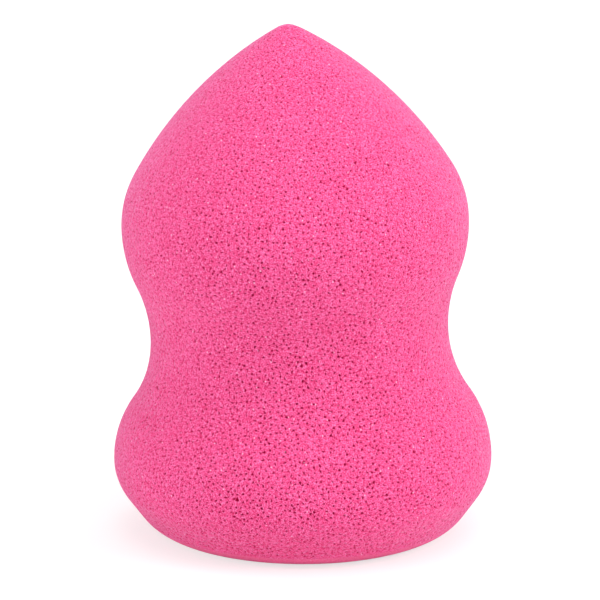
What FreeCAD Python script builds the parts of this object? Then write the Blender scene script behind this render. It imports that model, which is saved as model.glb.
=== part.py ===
import FreeCAD, Part
import math
import os
from collections import namedtuple
from functools import partial

import Sketcher

# A gourd-shaped makeup sponge of moulded foam, standing on its flat foot with the point up.
# Lengths are millimetres. The origin is the middle of the foot, and the sponge is round about +Z.
# The profile runs from the foot up to the tip in lines and arcs that run smoothly into each other:
# foot, rolled rim, flank, under curve, lower bulge, waist, upper bulge, shoulder, ogive and tip.
# The foam has three layers that meet face to face: an open core, a fine skin round the sides,
# and the skin of the foot, which turns up over the rim as a smooth lip.

SIZES = {
    # the lower bulge and the foot under it
    "lower_bulge_diameter": 42.8,
    "lower_bulge_height": 8.2,
    "under_radius": 6.4,
    "foot_inset": 7.2,
    "rim_radius": 5.4,
    # the waist, drawn in from the lower bulge
    "waist_inset": 4.6,
    "waist_rise": 14.5,
    "lower_curve_share": 0.46,
    # the upper bulge, standing out from the waist
    "upper_bulge_outset": 2.7,
    "upper_bulge_rise": 12.7,
    "upper_curve_share": 0.49,
    # the pointed top
    "shoulder_radius": 11.7,
    "ogive_radius": 45.5,
    "tip_radius": 2.4,
    "tip_rise": 22.7,
    # the skin of the foam
    "skin_thickness": 0.5,
    "lip_height": 1.5,
    # how far a cut runs past what it cuts
    "cut_overrun": 1.0,
}

# Two arcs that stand upright at a bulge and at the waist, and touch in between, have radii of a set sum.
# The share says how much of that sum the bulge's arc takes. The waist's arc takes the rest.
DERIVED = {
    "lower_bulge_radius": "lower_bulge_diameter / 2",
    "foot_radius": "lower_bulge_radius - foot_inset",
    "waist_radius": "lower_bulge_radius - waist_inset",
    "waist_height": "lower_bulge_height + waist_rise",
    "lower_curve_sum": "(waist_inset^2 + waist_rise^2) / (2 * waist_inset)",
    "lower_curve": "lower_curve_share * lower_curve_sum",
    "upper_bulge_radius": "waist_radius + upper_bulge_outset",
    "upper_bulge_height": "waist_height + upper_bulge_rise",
    "upper_curve_sum": "(upper_bulge_outset^2 + upper_bulge_rise^2) / (2 * upper_bulge_outset)",
    "upper_curve": "upper_curve_share * upper_curve_sum",
    "overall_height": "upper_bulge_height + tip_rise",
    "cut_reach": "lower_bulge_radius + upper_bulge_outset + cut_overrun",
    "cut_top": "overall_height + cut_overrun",
}

# How a sketch numbers its origin point, its upright axis and the points of a line or an arc
ORIGIN = (-1, 1)
AXIS = (-2,)
START, END, CENTRE = range(1, 4)

# What the inner faces of the skins add to a radius or a height of the outer surface
INSET = " - sizes.skin_thickness"

# How far, as a share of the sponge, the layers' volumes may differ from the whole
VOLUME_SLACK_SHARE = 1e-6

# An arc of the profile, with the angles of its lower and upper ends. A hollow one bends in, at the waist.
Curve = namedtuple("Curve", "name centre radius hollow low high")


def make_sheet(doc):
    """Writes the driving sizes, and below them the sizes that follow from them."""
    sheet = doc.addObject("Spreadsheet::Sheet", "sizes")
    cells = {name: str(value) for name, value in SIZES.items()}
    cells.update({name: "=" + formula for name, formula in DERIVED.items()})
    for row, (name, content) in enumerate(cells.items(), start=1):
        sheet.set(f"A{row}", name)
        sheet.set(f"B{row}", content)
        sheet.setAlias(f"B{row}", name)
    doc.recompute()
    return sheet


def heading(start, end):
    return math.atan2(end[1] - start[1], end[0] - start[0])


def flank_heading(rim_at, under_at, size):
    """The direction, square to the flank, in which it touches the rim's circle and the under curve's."""
    lean = math.acos((size.rim_radius - size.under_radius) / math.dist(rim_at, under_at))
    return heading(rim_at, under_at) - lean


def ogive_centre(shoulder, tip, size):
    """The centre, left of both, of the arc that holds the shoulder's and the tip's circles inside it."""
    to_shoulder = size.ogive_radius - size.shoulder_radius
    to_tip = size.ogive_radius - size.tip_radius
    span = math.dist(tip, shoulder)
    along = (to_tip**2 - to_shoulder**2 + span**2) / (2 * span)
    across = math.sqrt(to_tip**2 - along**2)
    unit = ((shoulder[0] - tip[0]) / span, (shoulder[1] - tip[1]) / span)
    return tip[0] + along * unit[0] + across * unit[1], tip[1] + along * unit[1] - across * unit[0]


def make_profile(size):
    """The outer profile as arcs from the foot to the tip, in the half plane of radius and height."""
    waist_low = size.lower_curve_sum - size.lower_curve
    waist_high = size.upper_curve_sum - size.upper_curve
    rim_at = (size.foot_radius, size.rim_radius)
    under_at = (size.lower_bulge_radius - size.under_radius, size.lower_bulge_height)
    lower_at = (size.lower_bulge_radius - size.lower_curve, size.lower_bulge_height)
    waist_low_at = (size.waist_radius + waist_low, size.waist_height)
    waist_high_at = (size.waist_radius + waist_high, size.waist_height)
    upper_at = (size.upper_bulge_radius - size.upper_curve, size.upper_bulge_height)
    shoulder_at = (size.upper_bulge_radius - size.shoulder_radius, size.upper_bulge_height)
    tip_at = (0, size.overall_height - size.tip_radius)
    ogive_at = ogive_centre(shoulder_at, tip_at, size)

    down, level, back, up = -math.pi / 2, 0, math.pi, math.pi / 2
    flank = flank_heading(rim_at, under_at, size)
    lower_end = heading(lower_at, waist_low_at)
    upper_end = heading(upper_at, waist_high_at)
    shoulder_end = heading(ogive_at, shoulder_at)
    ogive_end = heading(ogive_at, tip_at)
    return [
        Curve("rim", rim_at, size.rim_radius, False, down, flank),
        Curve("under", under_at, size.under_radius, False, flank, level),
        Curve("lower", lower_at, size.lower_curve, False, level, lower_end),
        Curve("waist_low", waist_low_at, waist_low, True, back + lower_end, back),
        Curve("waist_high", waist_high_at, waist_high, True, back, back + upper_end),
        Curve("upper", upper_at, size.upper_curve, False, upper_end, level),
        Curve("shoulder", shoulder_at, size.shoulder_radius, False, level, shoulder_end),
        Curve("ogive", ogive_at, size.ogive_radius, False, shoulder_end, ogive_end),
        Curve("tip", tip_at, size.tip_radius, False, ogive_end, up),
    ]


def flat(point):
    return FreeCAD.Vector(point[0], point[1], 0)


def tie(sketch, kind, *where):
    sketch.addConstraint(Sketcher.Constraint(kind, *where))


def drive(sketch, kind, *where, by):
    """Adds a dimension to the sketch and ties it to a formula of the sheet's sizes."""
    value = float(sketch.evalExpression(by))
    number = sketch.addConstraint(Sketcher.Constraint(kind, *where, value))
    sketch.setExpression(f"Constraints[{number}]", by)


def place(sketch, point, across, height):
    """Places a point of the sketch by its distance from the axis and its height above the foot."""
    drive(sketch, "DistanceX", *ORIGIN, *point, by=across)
    drive(sketch, "DistanceY", *ORIGIN, *point, by=height)


def add_line(sketch, start, end):
    return sketch.addGeometry(Part.LineSegment(flat(start), flat(end)))


def add_arc(sketch, curve, depth):
    """Draws an arc of the profile, sunk below the outer surface by a depth."""
    radius = curve.radius + depth if curve.hollow else curve.radius - depth
    ends = sorted((curve.low, curve.high))
    circle = Part.Circle(flat(curve.centre), FreeCAD.Vector(0, 0, 1), radius)
    return sketch.addGeometry(Part.ArcOfCircle(circle, *ends))


def join_arcs(sketch, arcs, curves):
    """Makes each arc run smoothly into the next. A hollow one is drawn from its upper end down."""
    for below, above in zip(curves, curves[1:]):
        leaving = START if below.hollow else END
        entering = END if above.hollow else START
        tie(sketch, "Tangent", arcs[below.name], leaving, arcs[above.name], entering)


def add_flank(sketch, arcs, rim, under, depth):
    """Draws the straight flank that runs smoothly from the rim's arc into the under curve."""
    ends = [(curve.centre[0] + (curve.radius - depth) * math.cos(rim.high),
             curve.centre[1] + (curve.radius - depth) * math.sin(rim.high)) for curve in (rim, under)]
    line = add_line(sketch, *ends)
    tie(sketch, "Tangent", arcs["rim"], END, line, START)
    tie(sketch, "Tangent", line, END, arcs["under"], START)


def add_foot(sketch, arcs, size, depth):
    """Draws the flat of the foot, or the face one skin above it, from the axis out to the rim's arc."""
    line = add_line(sketch, (0, depth), (size.foot_radius, depth))
    tie(sketch, "Horizontal", line)
    tie(sketch, "Tangent", line, END, arcs["rim"], START)
    drive(sketch, "DistanceX", *ORIGIN, line, END, by="sizes.foot_radius")
    if depth:
        tie(sketch, "PointOnObject", line, START, *AXIS)
        drive(sketch, "DistanceY", *ORIGIN, line, START, by="sizes.skin_thickness")
    else:
        tie(sketch, "Coincident", line, START, *ORIGIN)
    return line


def size_arcs(sketch, arcs, inset):
    """Ties the arcs to the sheet. The inset is none on the outer surface, and the skin on the core."""
    widest = {
        "under": (END, "lower_bulge_radius", "lower_bulge_height"),
        "waist_low": (START, "waist_radius", "waist_height"),
        "upper": (END, "upper_bulge_radius", "upper_bulge_height"),
    }
    for name, (end, across, height) in widest.items():
        tie(sketch, "Horizontal", arcs[name], CENTRE, arcs[name], end)
        place(sketch, (arcs[name], end), f"sizes.{across}{inset}", f"sizes.{height}")
    radii = {"rim": "rim_radius", "under": "under_radius", "lower": "lower_curve", "upper": "upper_curve",
             "shoulder": "shoulder_radius", "ogive": "ogive_radius", "tip": "tip_radius"}
    for name, radius in radii.items():
        drive(sketch, "Radius", arcs[name], by=f"sizes.{radius}{inset}")
    for point in (CENTRE, END):
        tie(sketch, "PointOnObject", arcs["tip"], point, *AXIS)
    drive(sketch, "DistanceY", *ORIGIN, arcs["tip"], END, by=f"sizes.overall_height{inset}")


def draw_outline(sketch, profile, size, depth):
    """Draws half the sponge's outline, sunk below the outer surface by a depth and closed along the axis."""
    arcs = {curve.name: add_arc(sketch, curve, depth) for curve in profile}
    rim, *others = profile
    join_arcs(sketch, arcs, others)
    add_flank(sketch, arcs, rim, others[0], depth)
    foot = add_foot(sketch, arcs, size, depth)
    size_arcs(sketch, arcs, INSET if depth else "")
    axis = add_line(sketch, (0, size.overall_height - depth), (0, depth))
    tie(sketch, "Coincident", axis, START, arcs["tip"], END)
    tie(sketch, "Coincident", axis, END, foot, START)


def draw_band(sketch, top, tall):
    """Draws a level band from the axis out past the sponge, from the height of its top down."""
    reach, high, span = (float(sketch.evalExpression(size)) for size in ("sizes.cut_reach", top, tall))
    corners = [(0, high - span), (reach, high - span), (reach, high), (0, high)]
    lines = [add_line(sketch, *ends) for ends in zip(corners, corners[1:] + corners[:1])]
    for line, following in zip(lines, lines[1:] + lines[:1]):
        tie(sketch, "Coincident", line, END, following, START)
    low_edge, outer_edge, high_edge, axis_edge = lines
    for line in (low_edge, high_edge):
        tie(sketch, "Horizontal", line)
    for line in (outer_edge, axis_edge):
        tie(sketch, "Vertical", line)
    tie(sketch, "PointOnObject", axis_edge, START, *AXIS)
    place(sketch, (outer_edge, END), "sizes.cut_reach", top)
    drive(sketch, "DistanceY", outer_edge, START, outer_edge, END, by=tall)


def turn(doc, body, kind, name, draw):
    """Turns a sketch of the body's own about the axis, to make a solid or to cut one away."""
    sketch = body.newObject("Sketcher::SketchObject", f"{name}_sketch")
    upright = next(plane for plane in body.Origin.OriginFeatures if plane.Role == "XZ_Plane")
    sketch.AttachmentSupport = [(upright, "")]
    sketch.MapMode = "FlatFace"
    draw(sketch)
    doc.recompute()
    if not sketch.FullyConstrained:
        raise RuntimeError(f"{sketch.Label} is not fully sized")
    feature = body.newObject(f"PartDesign::{kind}", name)
    feature.Profile = sketch
    feature.ReferenceAxis = (sketch, ["V_Axis"])
    doc.recompute()
    return feature


def make_layers(doc, size):
    """Turns the core, and the two skins: the whole sponge, cut off at the lip and emptied of the core."""
    profile = make_profile(size)
    outside = partial(draw_outline, profile=profile, size=size, depth=0)
    inside = partial(draw_outline, profile=profile, size=size, depth=size.skin_thickness)
    below_lip = partial(draw_band, top="sizes.lip_height", tall="sizes.lip_height + sizes.cut_overrun")
    above_lip = partial(draw_band, top="sizes.cut_top", tall="sizes.cut_top - sizes.lip_height")
    steps = {
        "foam_core": [("Revolution", "core", inside)],
        "side_skin": [("Revolution", "whole", outside), ("Groove", "foot_cut", below_lip),
                      ("Groove", "core_cut", inside)],
        "base_skin": [("Revolution", "whole", outside), ("Groove", "top_cut", above_lip),
                      ("Groove", "core_cut", inside)],
    }
    bodies = {}
    for label, features in steps.items():
        body = doc.addObject("PartDesign::Body", label)
        body.Label = label
        body.Placement = FreeCAD.Placement()
        turned = [turn(doc, body, kind, f"{label}_{name}", draw) for kind, name, draw in features]
        bodies[label] = body, turned
    return bodies


def check(doc, bodies):
    """Stops unless each layer is one sound solid and together they fill the whole sponge."""
    for item in doc.Objects:
        if "Invalid" in item.State or "Error" in item.State:
            raise RuntimeError(f"{item.Label} failed: {item.State}")
    for body, features in bodies.values():
        if body.Shape.isNull() or not body.Shape.isValid() or len(body.Shape.Solids) != 1:
            raise RuntimeError(f"{body.Label} is not one sound solid")
    whole = bodies["side_skin"][1][0].Shape.Volume
    filled = sum(body.Shape.Volume for body, features in bodies.values())
    if abs(filled - whole) > VOLUME_SLACK_SHARE * whole:
        raise RuntimeError(f"the layers hold {filled:.1f} mm3 of the sponge's {whole:.1f} mm3")


def main():
    doc = FreeCAD.newDocument("makeup_sponge")
    bodies = make_layers(doc, make_sheet(doc))
    check(doc, bodies)
    os.makedirs("parts", exist_ok=True)
    for body, features in bodies.values():
        body.Shape.exportStep(f"parts/{body.Label}.step")
        print(f"{body.Label}: volume {body.Shape.Volume:.1f} mm3")


main()
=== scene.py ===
import math
from collections import namedtuple

import bpy
import numpy as np
from mathutils import Matrix, Vector
from mathutils.geometry import delaunay_2d_cdt
from mathutils.kdtree import KDTree


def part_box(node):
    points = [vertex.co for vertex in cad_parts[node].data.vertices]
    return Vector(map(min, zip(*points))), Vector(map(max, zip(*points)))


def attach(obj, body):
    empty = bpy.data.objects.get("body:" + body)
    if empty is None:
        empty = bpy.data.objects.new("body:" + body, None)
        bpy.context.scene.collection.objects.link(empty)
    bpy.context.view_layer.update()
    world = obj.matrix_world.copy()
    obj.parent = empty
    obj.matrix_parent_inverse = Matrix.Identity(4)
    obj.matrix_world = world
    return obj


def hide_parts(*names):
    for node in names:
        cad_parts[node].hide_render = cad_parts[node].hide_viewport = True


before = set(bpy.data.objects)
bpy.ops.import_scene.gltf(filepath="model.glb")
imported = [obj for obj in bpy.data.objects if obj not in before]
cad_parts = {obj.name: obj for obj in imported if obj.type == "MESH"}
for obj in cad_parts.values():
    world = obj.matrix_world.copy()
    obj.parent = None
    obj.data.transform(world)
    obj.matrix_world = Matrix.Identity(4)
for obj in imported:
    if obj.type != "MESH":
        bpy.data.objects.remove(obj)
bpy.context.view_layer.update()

# A gourd-shaped makeup sponge of pink foam, standing on its foot with the point up.
# Lengths are metres. The skin's outside is modelled pore by pore: each pore is a small pit
# with an irregular rim, and the pores are scattered evenly but at random over the surface.

# The profile, as in the CAD model. What the frame's boxes give is read from them.
skin_low, skin_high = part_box("side_skin")
core_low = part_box("foam_core")[0]
LIP_HEIGHT = skin_low.z
OVERALL_HEIGHT = skin_high.z
SKIN_THICKNESS = core_low.z
LOWER_BULGE_RADIUS = skin_high.x
LOWER_BULGE_HEIGHT = 0.0082
UNDER_RADIUS = 0.0064
FOOT_INSET = 0.0072
FOOT_RADIUS = LOWER_BULGE_RADIUS - FOOT_INSET
RIM_RADIUS = 0.0054
WAIST_INSET = 0.0046
WAIST_RISE = 0.0145
LOWER_CURVE_SHARE = 0.46
UPPER_BULGE_OUTSET = 0.0027
UPPER_BULGE_RISE = 0.0127
UPPER_CURVE_SHARE = 0.49
SHOULDER_RADIUS = 0.0117
OGIVE_RADIUS = 0.0455
TIP_RADIUS = 0.0024

# How finely the profile and the plain walls are worked out
ARC_STEPS = 200
PROFILE_STEPS = 6000
RING_SIDES = 120
WALL_ROWS = 20
MERGE_GAP = 1e-9

# The photographed sponge leans a little to the left above its level foot. The lean grows up to a height.
LEAN = math.radians(2.1)
LEAN_TOP = 0.0222
LEAN_STEPS = 2000

# How the pores vary: the corners of a rim and how far they turn out of their even places, the spread
# of the room round each pore, of sizes, corners and depths, the most of the room that a rim takes
# and of the skin that a pit takes, and how far the land between pits sinks
PORE_CORNERS = 5
CORNER_TURN_SHARE = 0.2
ROOM_SPREAD = 0.15
SIZE_SPREAD = 0.12
CORNER_SPREAD = 0.12
DEPTH_SPREAD = 0.3
RIM_LIMIT_SHARE = 0.48
DEPTH_LIMIT_SHARE = 0.85
LAND_DEPTH_SHARE = 0.05

# The map for baking: the outside over the wall's strip
MAP_WIDTH = 0.98
MAP_FLOOR = 0.1
MAP_WALL_SHARE = 0.9

# An arc of the profile from its lower to its upper end, given by the angles of the outward normal there.
# A hollow arc has a negative radius, so that the normal still points out of the foam.
Arc = namedtuple("Arc", "centre radius start end")

# A surface turned about the axis: arrays along its profile from the middle of the foot to the tip,
# with the distance along the profile, the radius, the height and the angle of the outward normal
Surface = namedtuple("Surface", "along radius height tilt")

# A surface laid out as a round disk without changing its angles, with a pole at the middle of the disk
# and a ring at its edge. Levels are minus the logarithm of the disk's radius.
Disk = namedtuple("Disk", "surface along level")

# What the pores of a surface look like: the mean least room between two, how many places are tried,
# their size and depth, the most that they are stretched, the share of the depth left at the pole,
# how far from the ring they get their depth, and the seed of their random draws
Pores = namedtuple("Pores", "spacing tries size depth stretch pole_share fade seed")

# The pores: fine on the skin's sides, finer and shallower under the foot, and open cells in the core
SIDE_PORES = Pores(
    spacing=0.00049, tries=220000, size=0.00016, depth=0.00042,
    stretch=2.6, pole_share=0.45, fade=0.0007, seed=1,
)
BASE_PORES = Pores(
    spacing=0.00045, tries=30000, size=0.00014, depth=0.00022,
    stretch=2.5, pole_share=1.0, fade=0.0040, seed=2,
)
CORE_PORES = Pores(
    spacing=0.0011, tries=40000, size=0.00032, depth=0.0006,
    stretch=1.6, pole_share=1.0, fade=0.0005, seed=3,
)

# The gap between the core and the skin, and how far out from the middle of its foot the core's pores begin
CORE_CLEARANCE = 0.00005
CORE_RING = 0.002

# The photograph's frame, and the view that its outline was fitted with
PHOTO_SIDE = 600
PIXELS_PER_METRE = 8889
SEEN_AT = (303.1, 286.0)
TARGET = Vector((0, 0, 0.028))
VIEW_ELEVATION = math.radians(15)
VIEW_DISTANCE = 0.6
SENSOR_WIDTH = 36

# What a foam looks like: its colours from the crests between pores over the land down into the pits,
# how dark its patches get, its glints, and its sheen. The land is the foam's own colour; the paler
# crests are a painted highlight, the darker dents and pits are painted shade, and the glints are
# painted highlights of light off cell walls
Look = namedtuple("Look", "crest land dent pit patch glint sheen")
SKIN_LOOK = Look(
    crest=(1.0, 0.28, 0.61),
    land=(0.97, 0.118, 0.35),
    dent=(0.84, 0.042, 0.185),
    pit=(0.40, 0.001, 0.040),
    patch=(0.985, 0.95, 0.965),
    glint=(1.0, 0.55, 0.78),
    sheen=0.5,
)
# The foot's colours are lighter than the sides': painted light on the lip, which faces down and gets
# little light
FOOT_LOOK_PAINTED_LIGHTER = SKIN_LOOK._replace(
    crest=(1.0, 0.22, 0.47),
    land=(1.0, 0.170, 0.39),
    dent=(1.0, 0.130, 0.32),
    pit=(0.75, 0.020, 0.12),
    sheen=0.15,
)
CORE_LOOK = SKIN_LOOK._replace(
    dent=(0.82, 0.040, 0.19),
    pit=(0.45, 0.002, 0.05),
    sheen=0.1,
)

# Where the land and the dents come on the way from a crest down to a pit, so that the painted shade
# deepens with the pores' depth
LAND_STOP = 0.35
DENT_STOP = 0.6

# The grain between the pores, which pulls at the pores' depth, and the range of what comes out.
# The painted shade and highlights follow the grain as well.
GRAIN_SCALE = 7000
GRAIN_DETAIL = 1
GRAIN_PULL = -1.4
HIGHEST = -1.07
DEEPEST = -0.12

# The faint patches, the painted glints that stand in for light off cell walls, and the relief of the grain
PATCH_SCALE = 110
PATCH_DETAIL = 2
PATCH_LOW = 0.35
PATCH_HIGH = 0.65
PAINTED_GLINT_SCALE = 900
PAINTED_GLINT_CORE = 0.04
PAINTED_GLINT_EDGE = 0.1
BUMP_STRENGTH = 0.6
BUMP_DEPTH = 0.0001

# A Mix node's sockets for colours: the factor and both colours, and what comes out
MIX_INPUTS = (0, 6, 7)
MIX_OUTPUT = 2

# How the foam takes the light
CREST_ROUGHNESS = 0.55
PIT_ROUGHNESS = 0.85
SPECULAR = 0.08
SHEEN_ROUGHNESS = 0.4
SHEEN_TINT = (1.0, 0.62, 0.95, 1)

# The studio: a white floor and soft lamps, each with its place, side and power
FLOOR_SIDE = 4
FLOOR_COLOUR = (0.9, 0.9, 0.9)
FLOOR_SEEN_COLOUR = (0.42, 0.42, 0.42)
FLOOR_GLOW = 0.68
WORLD_STRENGTH = 0.36
LAMPS = [
    ("overhead", (0.10, -0.10, 0.90), 0.9, 4.8),
    ("key", (0.65, -0.30, 0.40), 0.4, 3.2),
    ("left", (-0.70, -0.25, 0.25), 0.4, 2.15),
    ("front", (-0.20, -0.75, 0.10), 0.5, 0.35),
    ("back", (0.15, 0.75, 0.45), 0.5, 1.8),
]


def heading(start, end):
    """The angle of the way from one point of the profile to another."""
    return math.atan2(end[1] - start[1], end[0] - start[0])


def make_arcs():
    """The profile's arcs, from the rolled rim up to the tip. A straight flank joins the first two."""
    waist_radius = LOWER_BULGE_RADIUS - WAIST_INSET
    waist_height = LOWER_BULGE_HEIGHT + WAIST_RISE
    upper_radius = waist_radius + UPPER_BULGE_OUTSET
    upper_height = waist_height + UPPER_BULGE_RISE
    lower_sum = (WAIST_INSET**2 + WAIST_RISE**2) / (2 * WAIST_INSET)
    upper_sum = (UPPER_BULGE_OUTSET**2 + UPPER_BULGE_RISE**2) / (2 * UPPER_BULGE_OUTSET)
    lower_curve = LOWER_CURVE_SHARE * lower_sum
    upper_curve = UPPER_CURVE_SHARE * upper_sum

    rim = (FOOT_RADIUS, RIM_RADIUS)
    under = (LOWER_BULGE_RADIUS - UNDER_RADIUS, LOWER_BULGE_HEIGHT)
    lower = (LOWER_BULGE_RADIUS - lower_curve, LOWER_BULGE_HEIGHT)
    waist_low = (waist_radius + lower_sum - lower_curve, waist_height)
    waist_high = (waist_radius + upper_sum - upper_curve, waist_height)
    upper = (upper_radius - upper_curve, upper_height)
    shoulder = (upper_radius - SHOULDER_RADIUS, upper_height)
    tip = (0, OVERALL_HEIGHT - TIP_RADIUS)

    to_shoulder = OGIVE_RADIUS - SHOULDER_RADIUS
    to_tip = OGIVE_RADIUS - TIP_RADIUS
    span = math.dist(tip, shoulder)
    forward = (to_tip**2 - to_shoulder**2 + span**2) / (2 * span)
    aside = math.sqrt(to_tip**2 - forward**2)
    unit = ((shoulder[0] - tip[0]) / span, (shoulder[1] - tip[1]) / span)
    ogive = (tip[0] + forward * unit[0] + aside * unit[1], tip[1] + forward * unit[1] - aside * unit[0])

    flank = heading(rim, under) - math.acos((RIM_RADIUS - UNDER_RADIUS) / math.dist(rim, under))
    lower_end = heading(lower, waist_low)
    upper_end = heading(upper, waist_high)
    shoulder_end = heading(ogive, shoulder)
    ogive_end = heading(ogive, tip)
    return [
        Arc(rim, RIM_RADIUS, -math.pi / 2, flank),
        Arc(under, UNDER_RADIUS, flank, 0),
        Arc(lower, lower_curve, 0, lower_end),
        Arc(waist_low, lower_curve - lower_sum, lower_end, 0),
        Arc(waist_high, upper_curve - upper_sum, 0, upper_end),
        Arc(upper, upper_curve, upper_end, 0),
        Arc(shoulder, SHOULDER_RADIUS, 0, shoulder_end),
        Arc(ogive, OGIVE_RADIUS, shoulder_end, ogive_end),
        Arc(tip, TIP_RADIUS, ogive_end, math.pi / 2),
    ]


def make_surface(arcs, depth):
    """The surface that lies a depth below the sponge's outside."""
    tilt = np.concatenate([np.linspace(arc.start, arc.end, ARC_STEPS) for arc in arcs])
    radius = np.repeat([arc.radius - depth for arc in arcs], ARC_STEPS)
    centre = np.repeat(np.array([arc.centre for arc in arcs], float), ARC_STEPS, axis=0)
    across = np.concatenate([[0], centre[:, 0] + radius * np.cos(tilt)])
    height = np.concatenate([[depth], centre[:, 1] + radius * np.sin(tilt)])
    tilt = np.concatenate([[-math.pi / 2], tilt])
    along = np.concatenate([[0], np.cumsum(np.hypot(np.diff(across), np.diff(height)))])
    fine = np.linspace(0, along[-1], PROFILE_STEPS)
    columns = [np.interp(fine, along, column) for column in (across, height, tilt)]
    columns[0] = np.maximum(columns[0], 0)
    return Surface(fine, *columns)


def at_height(surface, height):
    """How far along the profile the surface reaches a height, near the foot."""
    first = np.argmax(surface.height > height)
    return np.interp(height, surface.height[first - 1:first + 1], surface.along[first - 1:first + 1])


def lay_out(surface, ring, pole):
    """Lays the surface out as a disk. Ring and pole are given by how far along the profile they lie."""
    along = np.linspace(ring, pole, PROFILE_STEPS)[:-1]
    radius = np.interp(along, surface.along, surface.radius)
    steps = np.abs(np.diff(along)) * 2 / (radius[1:] + radius[:-1])
    return Disk(surface, along, np.concatenate([[0], np.cumsum(steps)]))


def place(surface, along, turn, depth):
    """Points of the surface, sunk below it by their depths."""
    radius, height, tilt = (np.interp(along, surface.along, column) for column in surface[1:])
    radius = radius - depth * np.cos(tilt)
    height = height - depth * np.sin(tilt)
    return np.column_stack([radius * np.cos(turn), radius * np.sin(turn), height])


def lean_over(points):
    """The points with the sponge's lean, which turns each level section about the bent axis."""
    height = np.linspace(0, OVERALL_HEIGHT, LEAN_STEPS)
    angle = LEAN * fade_in(height, LEAN_TOP)
    step = height[1] - height[0]
    axis_across = -step * np.cumsum(np.sin(angle))
    axis_height = step * (np.cumsum(np.cos(angle)) - 1)
    turned = np.interp(points[:, 2], height, angle)
    across = np.interp(points[:, 2], height, axis_across) + points[:, 0] * np.cos(turned)
    upward = np.interp(points[:, 2], height, axis_height) + points[:, 0] * np.sin(turned)
    return np.column_stack([across, points[:, 1], upward])


def scatter(disk, pores, rng):
    """Pore middles: distances along the profile, turns about the axis, and the room round each."""
    ring, pole = disk.along[0], disk.along[-1]
    reach = np.linspace(ring, pole, PROFILE_STEPS)
    share = np.cumsum(np.interp(reach, disk.surface.along, disk.surface.radius))
    along = np.interp(rng.random(pores.tries), share / share[-1], reach)
    turn = rng.uniform(-math.pi, math.pi, pores.tries)
    room = pores.spacing * rng.uniform(1 - ROOM_SPREAD, 1 + ROOM_SPREAD, pores.tries)
    points = place(disk.surface, along, turn, 0)
    tree = KDTree(len(points))
    for number, point in enumerate(points):
        tree.insert(point, number)
    tree.balance()
    taken = np.abs(along - ring) < pores.spacing
    kept = []
    for number, point in enumerate(points):
        if not taken[number]:
            kept.append(number)
            taken[[found[1] for found in tree.find_range(point, room[number])]] = True
    return along[kept], turn[kept], room[kept]


def fade_in(distance, length):
    """Rises smoothly from 0 at no distance to 1 at the length."""
    share = np.clip(distance / length, 0, 1)
    return share * share * (3 - 2 * share)


def make_rims(pores, room, size, rng):
    """The rims' corners, as distances down the profile and round the axis from the middles."""
    count = len(room)
    stretch = np.sqrt(rng.uniform(1, pores.stretch, count))[:, None]
    lie = rng.uniform(0, math.pi, count)[:, None]
    corner = np.arange(PORE_CORNERS) + CORNER_TURN_SHARE * rng.uniform(-1, 1, (count, PORE_CORNERS))
    corner = corner * 2 * math.pi / PORE_CORNERS
    reach = np.exp(CORNER_SPREAD * rng.standard_normal((count, PORE_CORNERS))) * size[:, None]
    longways = reach * np.cos(corner) * stretch
    sideways = reach * np.sin(corner) / stretch
    limit = np.minimum(RIM_LIMIT_SHARE * room[:, None] / np.hypot(longways, sideways), 1)
    down = limit * (longways * np.cos(lie) - sideways * np.sin(lie))
    aside = limit * (longways * np.sin(lie) + sideways * np.cos(lie))
    return down, aside


def make_pits(disk, pores, rng):
    """The pits' middles and rim corners as points of the disk, and how deep each is sunk."""
    along, turn, room = scatter(disk, pores, rng)
    count = len(along)
    size = pores.size * np.exp(SIZE_SPREAD * rng.standard_normal(count))
    down, aside = make_rims(pores, room, size, rng)
    order = np.argsort(disk.along)
    disk_radius = np.exp(-np.interp(along, disk.along[order], disk.level[order]))
    scale = disk_radius / np.interp(along, disk.surface.along, disk.surface.radius)
    outward = np.column_stack([np.cos(turn), np.sin(turn)])
    round_about = np.column_stack([-np.sin(turn), np.cos(turn)])
    middles = disk_radius[:, None] * outward
    offsets = down[..., None] * outward[:, None] + aside[..., None] * round_about[:, None]
    corners = middles[:, None] + scale[:, None, None] * offsets

    ring, pole = disk.along[0], disk.along[-1]
    to_pole = (along - ring) / (pole - ring)
    fade = fade_in(np.abs(along - ring), pores.fade) * (1 - (1 - pores.pole_share) * to_pole)
    varied = rng.uniform(1 - DEPTH_SPREAD, 1 + DEPTH_SPREAD, count)
    deep = pores.depth * size / pores.size * varied * fade
    deep = np.minimum(deep, DEPTH_LIMIT_SHARE * SKIN_THICKNESS)
    land = pores.depth * LAND_DEPTH_SHARE * fade[:, None] * rng.random((count, PORE_CORNERS))
    return np.concatenate([middles, corners.reshape(-1, 2)]), np.concatenate([deep, land.ravel()])


def make_outside(disk, pores, sides):
    """The pored surface: its points, their depths, and triangles that face up in the disk.

    The first points are the ring's, in order round the axis."""
    spots = 2 * math.pi * np.arange(sides) / sides - math.pi
    ring = np.column_stack([np.cos(spots), np.sin(spots)])
    pits, depth = make_pits(disk, pores, np.random.default_rng(pores.seed))
    flat = np.concatenate([ring, pits])
    depth = np.concatenate([np.zeros(sides), depth])
    corners = [Vector(point) for point in flat]
    triangles, sources = delaunay_2d_cdt(corners, [], [], 0, MERGE_GAP)[2:4]
    source = np.array([numbers[0] for numbers in sources])
    level = -np.log(np.hypot(flat[:, 0], flat[:, 1]))
    along = np.interp(level, disk.level, disk.along)
    turn = np.arctan2(flat[:, 1], flat[:, 0])
    return along, turn, depth, source[np.array(triangles)]


def make_wall(surface, ring, pole, sides, rows):
    """A smooth wall from a ring to a pole: its points, row by row, and the pole last."""
    spots = 2 * math.pi * np.arange(sides) / sides - math.pi
    along = np.repeat(np.linspace(ring, pole, rows + 1)[:-1], sides)
    turn = np.tile(spots, rows)
    points = place(surface, along, turn, 0)
    end = place(surface, np.array([pole]), np.array([0.0]), 0)
    return np.concatenate([points, end]), np.concatenate([turn, [0.0]])


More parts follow.
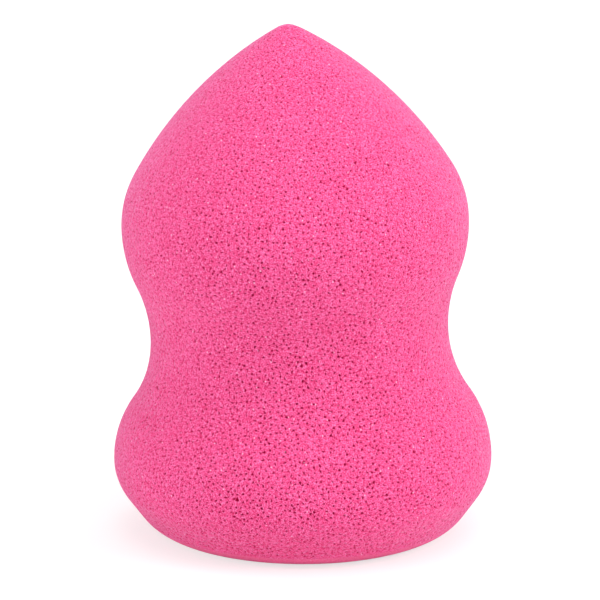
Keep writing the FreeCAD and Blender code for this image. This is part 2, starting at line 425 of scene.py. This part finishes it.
def wall_faces(first, outer, sides, rows):
    """The faces that go from the outer ring over the wall's rows to its pole."""
    rings = [outer] + [first + row * sides + np.arange(sides) for row in range(rows)]
    quads = [
        np.column_stack([np.roll(low, -1), low, high, np.roll(high, -1)])
        for low, high in zip(rings, rings[1:])
    ]
    last = rings[-1]
    fan = np.column_stack([np.roll(last, -1), last, np.full(sides, first + rows * sides)])
    return quads, fan


def wrap(turn, faces):
    """The corners' turns, face by face, with those past the seam carried on round."""
    corners = turn[faces]
    crossing = np.ptp(corners, axis=1, keepdims=True) > math.pi
    return np.where(crossing & (corners < 0), corners + 2 * math.pi, corners)


def make_mesh(name, points, turn, rise, depth, faces, sharp):
    """A mesh object with its pore depths, sharp rings and a map for baking."""
    mesh = bpy.data.meshes.new(name)
    mesh.from_pydata(points, [], [face for group in faces for face in group.tolist()])
    mesh.polygons.foreach_set("use_smooth", np.ones(len(mesh.polygons), bool))
    mesh.attributes.new("pore", "FLOAT", "POINT").data.foreach_set("value", depth.astype(np.float32))
    ends = np.empty(2 * len(mesh.edges), np.int32)
    mesh.edges.foreach_get("vertices", ends)
    ends = ends.reshape(-1, 2)
    mesh.edges.foreach_set("use_edge_sharp", sharp[ends].all(axis=1))
    across = np.concatenate([wrap(turn, group).ravel() for group in faces])
    upward = np.concatenate([rise[group].ravel() for group in faces])
    across = (across + math.pi) / (2 * math.pi) * MAP_WIDTH
    uv = np.column_stack([across, upward]).astype(np.float32)
    mesh.uv_layers.new(name="OFBake").data.foreach_set("uv", uv.ravel())
    mesh.validate()
    item = bpy.data.objects.new(name, mesh)
    bpy.context.scene.collection.objects.link(item)
    return item


def make_layer(name, outside, ring, pole, pores, inside=None, inner_ring=0, inner_pole=0):
    """A pored layer of foam. A skin has an inner wall too, and a solid layer closes at the ring."""
    disk = lay_out(outside, ring, pole)
    along, turn, depth, triangles = make_outside(disk, pores, RING_SIDES)
    points = place(outside, along, turn, depth)
    rise = MAP_FLOOR + (1 - MAP_FLOOR) * np.abs(along - ring) / abs(pole - ring)
    first = len(points)
    outer = np.arange(RING_SIDES)
    sharp = np.zeros(first, bool)
    if inside is None:
        wall = place(outside, np.array([0.0]), np.array([0.0]), 0)
        wall_turn = np.zeros(1)
        quads, fan = wall_faces(first, outer, RING_SIDES, 0)
    else:
        wall, wall_turn = make_wall(inside, inner_ring, inner_pole, RING_SIDES, WALL_ROWS)
        quads, fan = wall_faces(first, outer, RING_SIDES, WALL_ROWS)
        sharp[outer] = True
    wall_rise = np.linspace(MAP_FLOOR, 0, len(wall)) * MAP_WALL_SHARE
    sharp = np.concatenate([sharp, np.zeros(len(wall), bool)])
    sharp[first:first + RING_SIDES] = inside is not None
    faces = [triangles, *quads, fan]
    if pole < ring:
        faces = [group[:, ::-1] for group in faces]
    return make_mesh(
        name,
        lean_over(np.concatenate([points, wall])),
        np.concatenate([turn, wall_turn]),
        np.concatenate([rise, wall_rise]),
        np.concatenate([np.clip(depth / pores.depth, 0, 1), np.zeros(len(wall))]),
        faces,
        sharp,
    )


def start_material(name):
    material = bpy.data.materials.new(name)
    material.use_nodes = True
    material.node_tree.nodes.clear()
    return material, material.node_tree


def add(tree, kind, values=(), links=(), **settings):
    """Adds a shader node with its settings, socket values and links to its sockets."""
    node = tree.nodes.new(kind)
    for name, value in settings.items():
        setattr(node, name, value)
    for socket, value in dict(values).items():
        node.inputs[socket].default_value = value
    for socket, output in dict(links).items():
        tree.links.new(output, node.inputs[socket])
    return node


def noise(tree, place_at, scale, detail):
    """Noise from 0 to 1, with so many grains to a metre."""
    node = add(tree, "ShaderNodeTexNoise", {"Scale": scale, "Detail": detail}, {"Vector": place_at})
    return node.outputs["Fac"]


def spread(tree, value, low, high, start, end):
    """Carries a value from the range between start and end to the one between low and high."""
    limits = {"From Min": start, "From Max": end, "To Min": low, "To Max": high}
    return add(tree, "ShaderNodeMapRange", limits, {"Value": value}).outputs["Result"]


def ramp(tree, value, stops):
    """Colours along a value from 0 to 1."""
    node = add(tree, "ShaderNodeValToRGB", links={"Fac": value})
    elements = node.color_ramp.elements
    while len(elements) < len(stops):
        elements.new(1)
    for element, (position, colour) in zip(elements, stops):
        element.position = position
        element.color = (*colour, 1)
    return node.outputs["Color"]


def blend(tree, kind, factor, first, second):
    """Mixes two colours, each a node's output or a plain colour."""
    node = add(tree, "ShaderNodeMix", data_type="RGBA", blend_type=kind)
    for number, value in zip(MIX_INPUTS, (factor, first, second)):
        socket = node.inputs[number]
        if isinstance(value, bpy.types.NodeSocket):
            tree.links.new(value, socket)
        elif isinstance(value, tuple):
            socket.default_value = (*value, 1)
        else:
            socket.default_value = value
    return node.outputs[MIX_OUTPUT]


def make_foam(name, look):
    """Matte foam: painted highlights on the crests, painted shade in the pits, a fine grain,
    faint patches and a few painted glints of light off cell walls.
    """
    material, tree = start_material(name)
    place_at = add(tree, "ShaderNodeTexCoord").outputs["Object"]
    pore = add(tree, "ShaderNodeAttribute", attribute_name="pore").outputs["Fac"]
    grain = noise(tree, place_at, GRAIN_SCALE, GRAIN_DETAIL)
    patch = noise(tree, place_at, PATCH_SCALE, PATCH_DETAIL)
    pulled = add(tree, "ShaderNodeMath", {1: GRAIN_PULL}, {0: grain, 2: pore}, operation="MULTIPLY_ADD")
    depth = spread(tree, pulled.outputs[0], 0, 1, HIGHEST, DEEPEST)
    # The ramp paints highlights on the crests and shade in the dents and pits
    stops = [(0, look.crest), (LAND_STOP, look.land), (DENT_STOP, look.dent), (1, look.pit)]
    colour = ramp(tree, depth, stops)
    patches = ramp(tree, patch, [(PATCH_LOW, look.patch), (PATCH_HIGH, (1, 1, 1))])
    colour = blend(tree, "MULTIPLY", 1.0, colour, patches)
    # Painted glints: pale spots where the Voronoi points lie near the surface, for light off cell walls
    cells = add(tree, "ShaderNodeTexVoronoi", {"Scale": PAINTED_GLINT_SCALE}, {"Vector": place_at})
    glint = spread(tree, cells.outputs["Distance"], 1, 0, PAINTED_GLINT_CORE, PAINTED_GLINT_EDGE)
    colour = blend(tree, "MIX", glint, colour, look.glint)
    roughness = spread(tree, depth, CREST_ROUGHNESS, PIT_ROUGHNESS, 0, 1)
    relief = {"Strength": BUMP_STRENGTH, "Distance": BUMP_DEPTH}
    bump = add(tree, "ShaderNodeBump", relief, {"Height": depth}, invert=True).outputs["Normal"]
    finish = {
        "Specular IOR Level": SPECULAR,
        "Sheen Weight": look.sheen,
        "Sheen Roughness": SHEEN_ROUGHNESS,
        "Sheen Tint": SHEEN_TINT,
    }
    links = {"Base Color": colour, "Roughness": roughness, "Normal": bump}
    shader = add(tree, "ShaderNodeBsdfPrincipled", finish, links)
    add(tree, "ShaderNodeOutputMaterial", links={"Surface": shader.outputs["BSDF"]})
    return material


def dress(piece, node, slot, look):
    """Puts a foam layer in the place of its CAD node."""
    piece.data.materials.append(make_foam(slot, look))
    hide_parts(node)
    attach(piece, "root")


def make_sponge():
    """The two skins and the core, each in the place of its CAD node."""
    arcs = make_arcs()
    outside = make_surface(arcs, 0)
    inside = make_surface(arcs, SKIN_THICKNESS)
    core = make_surface(arcs, SKIN_THICKNESS + CORE_CLEARANCE)
    lip = at_height(outside, LIP_HEIGHT)
    inner_lip = at_height(inside, LIP_HEIGHT)
    side_skin = make_layer(
        "side_skin_foam", outside, lip, outside.along[-1], SIDE_PORES,
        inside, inner_lip, inside.along[-1],
    )
    base_skin = make_layer("base_skin_foam", outside, lip, 0, BASE_PORES, inside, inner_lip, 0)
    foam_core = make_layer("foam_core_foam", core, CORE_RING, core.along[-1], CORE_PORES)
    dress(side_skin, "side_skin", "foam_skin", SKIN_LOOK)
    dress(base_skin, "base_skin", "foam_foot", FOOT_LOOK_PAINTED_LIGHTER)
    dress(foam_core, "foam_core", "foam_core", CORE_LOOK)


def make_floor():
    """A white floor, which keeps the sponge's shadow. It looks whiter than the light on it makes it."""
    material, tree = start_material("floor")
    path = add(tree, "ShaderNodeLightPath").outputs
    seen = path["Is Camera Ray"]
    for kind in ("Is Glossy Ray", "Is Transmission Ray"):
        seen = add(tree, "ShaderNodeMath", links={0: seen, 1: path[kind]}, operation="MAXIMUM").outputs[0]
    colour = blend(tree, "MIX", seen, FLOOR_COLOUR, FLOOR_SEEN_COLOUR)
    shader = add(tree, "ShaderNodeBsdfDiffuse", links={"Color": colour})
    strength = add(tree, "ShaderNodeMath", {1: FLOOR_GLOW}, {0: seen}, operation="MULTIPLY").outputs[0]
    glow = add(tree, "ShaderNodeEmission", links={"Strength": strength})
    both = add(tree, "ShaderNodeAddShader", links={0: shader.outputs[0], 1: glow.outputs[0]})
    add(tree, "ShaderNodeOutputMaterial", links={"Surface": both.outputs[0]})
    mesh = bpy.data.meshes.new("floor")
    half = FLOOR_SIDE / 2
    corners = [(-half, -half, 0), (half, -half, 0), (half, half, 0), (-half, half, 0)]
    mesh.from_pydata(corners, [], [(0, 1, 2, 3)])
    mesh.materials.append(material)
    floor = bpy.data.objects.new("floor", mesh)
    bpy.context.scene.collection.objects.link(floor)


def add_lamp(name, spot, size, power):
    """A soft square lamp that points at the sponge's middle."""
    lamp = bpy.data.lights.new(name, "AREA")
    lamp.size = size
    lamp.energy = power
    item = bpy.data.objects.new(name, lamp)
    item.location = spot
    item.rotation_euler = (TARGET - item.location).to_track_quat("-Z", "Y").to_euler()
    bpy.context.scene.collection.objects.link(item)


def make_world(strength):
    world = bpy.data.worlds.new("studio")
    world.use_nodes = True
    background = world.node_tree.nodes["Background"]
    background.inputs["Color"].default_value = (1, 1, 1, 1)
    background.inputs["Strength"].default_value = strength
    bpy.context.scene.world = world


def make_camera():
    """Looks from the photograph's height, with its framing."""
    camera = bpy.data.cameras.new("camera")
    camera.sensor_width = SENSOR_WIDTH
    camera.lens = SENSOR_WIDTH * PIXELS_PER_METRE * VIEW_DISTANCE / PHOTO_SIDE
    item = bpy.data.objects.new("camera", camera)
    back = Vector((0, -math.cos(VIEW_ELEVATION), math.sin(VIEW_ELEVATION)))
    turned = (-back).to_track_quat("-Z", "Y").to_matrix()
    right, up = turned.col[0], turned.col[1]
    aside = (PHOTO_SIDE / 2 - SEEN_AT[0]) / PIXELS_PER_METRE
    above = (SEEN_AT[1] - PHOTO_SIDE / 2) / PIXELS_PER_METRE
    spot = TARGET + back * VIEW_DISTANCE + right * aside + up * above
    item.matrix_world = Matrix.Translation(spot) @ turned.to_4x4()
    bpy.context.scene.collection.objects.link(item)
    bpy.context.scene.camera = item


make_sponge()
make_floor()
make_world(WORLD_STRENGTH)
for lamp in LAMPS:
    add_lamp(*lamp)
make_camera()
bpy.context.scene.view_settings.view_transform = "Standard"
